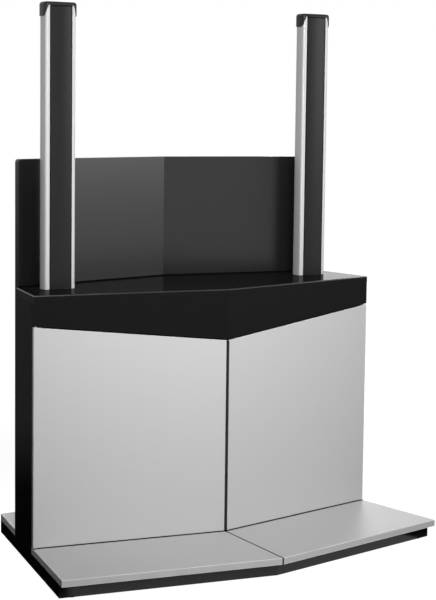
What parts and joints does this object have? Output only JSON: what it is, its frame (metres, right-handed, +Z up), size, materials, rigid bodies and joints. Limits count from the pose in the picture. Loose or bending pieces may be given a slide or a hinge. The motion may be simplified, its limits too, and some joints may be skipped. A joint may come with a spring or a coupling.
{
  "type": "video conference cabinet",
  "caption": "Media cabinet with a V-shaped front of pivoting doors, a black top and back panel, wide base plates and upright display columns.",
  "frame": {"origin": "middle of the footprint's bounding box, on the floor", "axes": "+Z up, the doors' side faces -Y, +X to the viewer's right"},
  "size_m": [1.3336, 0.8555, 1.702],
  "materials": {
    "silver_lacquer": "silver lacquered board, satin",
    "black_lacquer": "black lacquered board, gloss",
    "black_board": "black laminated board, satin",
    "black_plinth": "black laminated rail, matt",
    "column_aluminium": "natural anodised, satin",
    "black_plastic": "black moulded plastic, satin",
    "steel": "zinc-plated steel",
    "nylon": "natural nylon",
    "dark_nylon": "dark grey nylon",
    "rubber": "black rubber"
  },
  "bodies": {
    "cabinet": {"base_plate_front_left": "silver_lacquer", "base_plate_front_right": "silver_lacquer", "base_plate_rear": "silver_lacquer", "side_panel_left": "black_lacquer", "side_panel_right": "black_lacquer", "fascia_left": "black_lacquer", "fascia_right": "black_lacquer", "back_panel_left": "black_lacquer", "back_panel_right": "black_lacquer", "top_board": "black_lacquer", "carcass_floor": "black_board", "partition": "black_board", "shelf_left": "black_board", "shelf_right": "black_board", "plinth_front_left": "black_plinth", "plinth_front_right": "black_plinth", "plinth_side_left": "black_plinth", "plinth_side_right": "black_plinth", "plinth_cross_front_left": "black_plinth", "plinth_cross_front_right": "black_plinth", "plinth_cross_back_left": "black_plinth", "plinth_cross_back_right": "black_plinth", "plinth_back": "black_plinth", "plinth_spine": "black_plinth", "column_left": "column_aluminium", "column_right": "column_aluminium", "column_cover_left": "black_plastic", "column_cover_right": "black_plastic", "column_cap_left": "black_plastic", "column_cap_right": "black_plastic", "cable_grommet_left": "black_plastic", "cable_grommet_right": "black_plastic", "latch_housing_left": "black_plastic", "latch_housing_right": "black_plastic", "column_foot_left": "steel", "column_foot_right": "steel", "pivot_bush_top_left": "nylon", "pivot_bush_top_right": "nylon", "pivot_bush_bottom_left": "nylon", "pivot_bush_bottom_right": "nylon", "floor_glide_front_left": "dark_nylon", "floor_glide_front_middle": "dark_nylon", "floor_glide_front_right": "dark_nylon", "floor_glide_back_left": "dark_nylon", "floor_glide_back_middle": "dark_nylon", "floor_glide_back_right": "dark_nylon"},
    "door_left": {"door_left": "silver_lacquer", "pivot_pin_top_left": "steel", "pivot_pin_bottom_left": "steel", "door_striker_left": "steel", "door_bumper_left": "rubber"},
    "latch_plunger_left": {"latch_plunger_left": "dark_nylon"},
    "door_right": {"door_right": "silver_lacquer", "pivot_pin_top_right": "steel", "pivot_pin_bottom_right": "steel", "door_striker_right": "steel", "door_bumper_right": "rubber"},
    "latch_plunger_right": {"latch_plunger_right": "dark_nylon"}
  },
  "joints": [
    {"name": "door_left_pivot", "type": "hinge", "parent": "cabinet", "child": "door_left", "pos_m": [-0.60131, 0.01525, 0.4], "axis": [0, 0, -1], "range_deg": [0, 110]},
    {"name": "door_right_pivot", "type": "hinge", "parent": "cabinet", "child": "door_right", "pos_m": [0.60131, 0.01525, 0.4], "axis": [0, 0, 1], "range_deg": [0, 110]},
    {"name": "latch_left_press", "type": "slide", "parent": "cabinet", "child": "latch_plunger_left", "axis": [0, 1, 0], "range_m": [0, 0.003], "stiffness_N_per_m": 800},
    {"name": "latch_right_press", "type": "slide", "parent": "cabinet", "child": "latch_plunger_right", "axis": [0, 1, 0], "range_m": [0, 0.003], "stiffness_N_per_m": 800}
  ]
}
